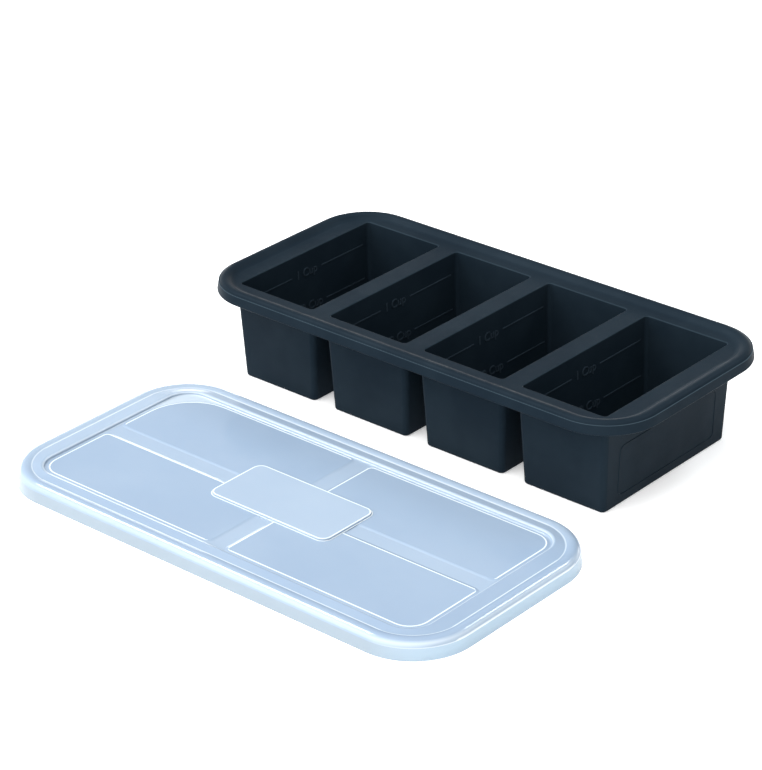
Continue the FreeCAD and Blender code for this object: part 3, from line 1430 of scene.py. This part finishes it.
        # Upright faces by the edge take the skirt's darker copy of the plastic: painted shade.
        for face in piece.data.polygons:
            place = face.center - self.middle
            by_edge = self.outline.depth(place.x, place.y) < 2 * self.wall
            face.material_index = int(abs(face.normal.z) < UPRIGHT and by_edge)
        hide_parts("lid")
        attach(piece, Body.LID.value)
        return piece


@dataclass
class Studio:
    """Pale floor, soft light and the camera at the photograph's place.

    Args:
        eye: Where the camera is.
        right: The camera's right, as a direction.
        up: Its up.
        bright_side: Where the room is brightest.
        room_light: Levels of the room's light, from the side that faces away to the bright one.
        sweep_light: Level of the low bright sweep of light.
        sweep_edge: Heights where the sweep is full and where it has faded.
        sweep_side: Side that the sweep is on.
        sweep_fade: Where along that side it starts and is full.
        dark_side: Side where the room is dimmed to dark_level, along dark_fade.
        lamps: Name, place, side and watts of each soft light.
        aim: What the lamps look at.
    """

    floor_half: float = 6.0
    eye: Vector = field(default_factory=lambda: Vector((0.9200, -1.0436, 0.7569)))
    right: Vector = field(default_factory=lambda: Vector((0.75445652, 0.65610425, -0.01796034)))
    up: Vector = field(default_factory=lambda: Vector((-0.28646176, 0.35377688, 0.89038283)))
    lens_mm: float = 137.15
    sensor_mm: float = 36.0
    floor_shade: float = 0.93
    floor_roughness: float = 0.9
    floor_glow: float = 0.26
    bright_side: Direction = (-0.153, -0.864, 0.479)
    room_light: Tuple[Point, ...] = ((-1.0, 0.10), (-0.3, 0.30), (0.05, 0.50), (0.5, 1.40), (1.0, 2.1))
    room_power: float = 1.5
    lamp_colour: Colour = (0.84, 0.91, 0.96)
    sweep_light: float = 2.6
    sweep_edge: Point = (0.12, 0.22)
    sweep_side: Direction = (-0.66, 0.75, 0.0)
    sweep_fade: Point = (0.40, 0.80)
    dark_side: Direction = (0.858, 0.191, -0.477)
    dark_fade: Point = (0.20, 0.60)
    dark_level: float = 0.3
    lamps: Tuple[Tuple[str, Direction, float, float], ...] = (
        ("left_box", (-1.44, -0.13, 1.92), 0.6, 27), ("right_box", (0.41, 1.65, 1.70), 0.5, 14))
    aim: Direction = (0, 0, 0.02)

    def floor(self) -> None:
        """A plain pale floor that reaches past the view on all sides."""
        deselect_all()
        bpy.ops.mesh.primitive_plane_add(size=2 * self.floor_half, location=(0, 0, 0))
        floor = bpy.context.object
        floor.name = "floor"
        material = bpy.data.materials.new("pale_floor")
        material.use_nodes = True
        shader = material.node_tree.nodes["Principled BSDF"]
        shader.inputs["Base Color"].default_value = (self.floor_shade,) * 3 + (1,)
        shader.inputs["Roughness"].default_value = self.floor_roughness
        shader.inputs["Specular IOR Level"].default_value = 0.0
        shader.inputs["Emission Color"].default_value = (1, 1, 1, 1)
        shader.inputs["Emission Strength"].default_value = self.floor_glow
        floor.data.materials.append(material)

    def world(self) -> None:
        """A soft room: wide pale light on the viewer's side, which fades to a dim far side."""
        world = bpy.data.worlds.new("soft_room")
        bpy.context.scene.world = world
        world.use_nodes = True
        world.node_tree.nodes.clear()
        sheet = NodeSheet(world.node_tree)
        place = sheet.add("ShaderNodeTexCoord").outputs["Generated"]
        facing = sheet.add("ShaderNodeVectorMath", {0: place, 1: self.bright_side}, operation="DOT_PRODUCT")
        spread = sheet.add("ShaderNodeMapRange", {"Value": facing.outputs["Value"], "From Min": -1.0})
        ramp = sheet.add("ShaderNodeValToRGB", {"Fac": spread.outputs["Result"]})
        ramp.color_ramp.interpolation = "EASE"
        first, *others, last = self.room_light
        for element, (position, level) in zip(ramp.color_ramp.elements, (first, last)):
            element.position = (position + 1) / 2
            element.color = (level, level, level, 1)
        for position, level in others:
            ramp.color_ramp.elements.new((position + 1) / 2).color = (level, level, level, 1)
        dark = self.toward(sheet, place, self.dark_side, self.dark_fade)
        low = self.toward(sheet, place, (0, 0, 1), (self.sweep_edge[1], self.sweep_edge[0]))
        far = self.toward(sheet, place, self.sweep_side, self.sweep_fade)
        band = sheet.add("ShaderNodeMath", {0: low, 1: far}, operation="MULTIPLY")
        dimmed = self.blended(sheet, ramp.outputs["Color"], self.dark_level, dark)
        swept = self.blended(sheet, dimmed, self.sweep_light, band.outputs["Value"])
        background = sheet.add("ShaderNodeBackground", {"Color": swept, "Strength": self.room_power})
        sheet.add("ShaderNodeOutputWorld", {"Surface": background.outputs["Background"]})

    def toward(self, sheet: NodeSheet, place: bpy.types.NodeSocket, side: Direction,
               fade: Point) -> bpy.types.NodeSocket:
        """A mask that grows from 0 to 1 as a direction turns to one side.

        Args:
            sheet: The world's sheet.
            place: The direction.
            side: The side.
            fade: Where along that side the mask starts and ends.

        Returns:
            The mask.
        """
        facing = sheet.add("ShaderNodeVectorMath", {0: place, 1: side}, operation="DOT_PRODUCT")
        mask = sheet.add("ShaderNodeMapRange", {
            "Value": facing.outputs["Value"], "From Min": fade[0], "From Max": fade[1]},
            interpolation_type="SMOOTHSTEP")
        return mask.outputs["Result"]

    def blended(self, sheet: NodeSheet, colour: bpy.types.NodeSocket, level: float,
                mask: bpy.types.NodeSocket) -> bpy.types.NodeSocket:
        """A colour that gives way to a grey level where a mask is 1."""
        grey = (level, level, level, 1)
        return sheet.add("ShaderNodeMix", {0: mask, 6: colour, 7: grey}, data_type="RGBA").outputs[2]

    def softbox(self, name: str, place: Direction, side: float, power: float) -> None:
        """A square soft light that looks at the middle of the object.

        Args:
            name: Name of the light.
            place: Where it hangs.
            side: Length of its side.
            power: Its power in watts.
        """
        light = bpy.data.lights.new(name, "AREA")
        light.shape = "SQUARE"
        light.size = side
        light.energy = power
        light.color = self.lamp_colour
        lamp = bpy.data.objects.new(name, light)
        lamp.location = place
        lamp.rotation_euler = (Vector(self.aim) - Vector(place)).to_track_quat("-Z", "Y").to_euler()
        bpy.context.scene.collection.objects.link(lamp)

    def camera(self) -> None:
        """The camera, placed and turned as the photograph was taken."""
        data = bpy.data.cameras.new("camera")
        data.sensor_fit = "VERTICAL"
        data.sensor_height = self.sensor_mm
        data.lens = self.lens_mm
        camera = bpy.data.objects.new("camera", data)
        back = self.right.cross(self.up)
        turn = Matrix((self.right, self.up, back)).transposed().to_4x4()
        camera.matrix_world = Matrix.Translation(self.eye) @ turn
        bpy.context.scene.collection.objects.link(camera)
        bpy.context.scene.camera = camera

    def build(self) -> None:
        """Sets up floor, light and camera."""
        self.floor()
        self.world()
        for name, place, side, power in self.lamps:
            self.softbox(name, place, side, power)
        self.camera()
        bpy.context.scene.view_settings.view_transform = "Standard"


def main() -> None:
    """Builds the classes in order and reports each piece."""
    logging.basicConfig(level=logging.INFO, format="%(name)s: %(message)s")
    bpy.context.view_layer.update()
    clouding, grain = clouding_group(), grain_group()
    silicone, marks, plastic, skirt, steel = (finish.material(clouding, grain) for finish in (
        Silicone("navy_silicone", (0.0072, 0.0128, 0.0190), (0.034, 0.052, 0.066)),
        Silicone("mark_silicone", (0.018, 0.028, 0.038), (0.028, 0.041, 0.053), patch_scale=60.0,
                 smoothest=0.40, roughest=0.50, grain_depth=0.02 * MM, wave=1.0),
        LidPlastic("translucent_lid", (0.229, 0.301, 0.397), (0.60, 0.66, 0.70)),
        # A darker copy of the lid's plastic for the skirt: painted shade.
        LidPlastic("shaded_lid_skirt", (0.222, 0.272, 0.318), (0.31, 0.41, 0.50)),
        DrawnSteel("drawn_steel", (0.50, 0.51, 0.52), (0.58, 0.58, 0.59))))
    paint(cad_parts["rim_frame"], steel)
    tray = PortionTray(silicone)
    for part in (tray, FillMarks(tray, marks), EndFrame(tray), Lid(plastic, skirt)):
        piece = part.build()
        log.info("%s: %d faces", piece.name, len(piece.data.polygons))
    Studio().build()


if __name__ == "__main__":
    main()
